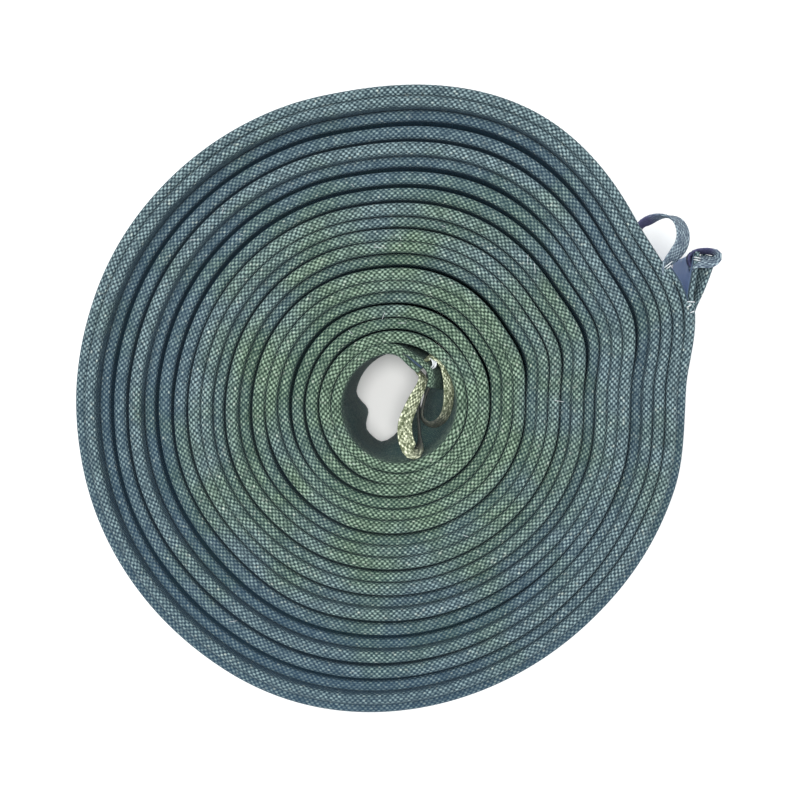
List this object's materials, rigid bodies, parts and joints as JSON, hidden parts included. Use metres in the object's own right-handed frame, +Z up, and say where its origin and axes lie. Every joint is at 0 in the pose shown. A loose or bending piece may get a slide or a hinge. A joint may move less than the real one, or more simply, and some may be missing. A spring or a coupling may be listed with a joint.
{
  "type": "rolled fire hose",
  "caption": "Lay-flat fire hose wound into a flat roll: woven jacket over a rubber lining, slit mouth at the loose outer end, sewn tape loops at both ends, no couplings.",
  "frame": {"origin": "middle of the roll's core, on the surface that the roll lies on", "axes": "+Z up along the roll's axis; +X towards the side where the loose outer end leaves the roll; the hose is wound counter-clockwise outwards seen from +Z"},
  "size_m": [0.3239, 0.307, 0.0857],
  "materials": {
    "jacket_weave": "matte",
    "lining_rubber": "satin",
    "outer_tape": "matte",
    "core_tape": "matte",
    "thread": "matte"
  },
  "bodies": {
    "roll": {"jacket_roll": "jacket_weave", "lining_roll": "lining_rubber"},
    "tail": {"jacket_tail": "jacket_weave", "lining_tail": "lining_rubber", "mouth_bartack": "thread", "tail_loop_stitches": "thread"},
    "mouth_flap": {"jacket_mouth_flap": "jacket_weave", "lining_mouth_flap": "lining_rubber", "flap_loop_stitches": "thread"},
    "tail_loop": {"tape_loop_tail": "outer_tape"},
    "flap_loop": {"tape_loop_flap": "outer_tape"},
    "core_end": {"jacket_core_end": "jacket_weave", "lining_core_end": "lining_rubber", "core_loop_stitches": "thread"},
    "core_loop_left": {"tape_loop_core_left": "core_tape"},
    "core_loop_right": {"tape_loop_core_right": "core_tape"}
  },
  "joints": [
    {"name": "tail_peel", "type": "hinge", "parent": "roll", "child": "tail", "pos_m": [0.14445, -0.0224, 0.0425], "axis": [0, 0, -1], "range_deg": [0, 50]},
    {"name": "mouth_flap_open", "type": "hinge", "parent": "tail", "child": "mouth_flap", "pos_m": [0.13993, 0.05079, 0.0425], "axis": [0, 0, -1], "range_deg": [-15, 30]},
    {"name": "tail_loop_swing", "type": "hinge", "parent": "tail", "child": "tail_loop", "pos_m": [0.13253, 0.07258, 0.0755], "axis": [0, 0, -1], "range_deg": [0, 30]},
    {"name": "flap_loop_swing", "type": "hinge", "parent": "mouth_flap", "child": "flap_loop", "pos_m": [0.14946, 0.07141, 0.0755], "axis": [0, 0, -1], "range_deg": [0, 35]},
    {"name": "core_end_bend", "type": "hinge", "parent": "roll", "child": "core_end", "pos_m": [-0.00999, 0.02769, 0.0425], "axis": [0, 0, -1], "range_deg": [-2, 8]},
    {"name": "core_left_swing", "type": "hinge", "parent": "core_end", "child": "core_loop_left", "pos_m": [0.00909, 0.01314, 0.0775], "axis": [0, 0, -1], "range_deg": [-2, 12]},
    {"name": "core_right_swing", "type": "hinge", "parent": "core_end", "child": "core_loop_right", "pos_m": [0.01846, 0.02042, 0.0755], "axis": [0, 0, 1], "range_deg": [-2, 8]}
  ]
}
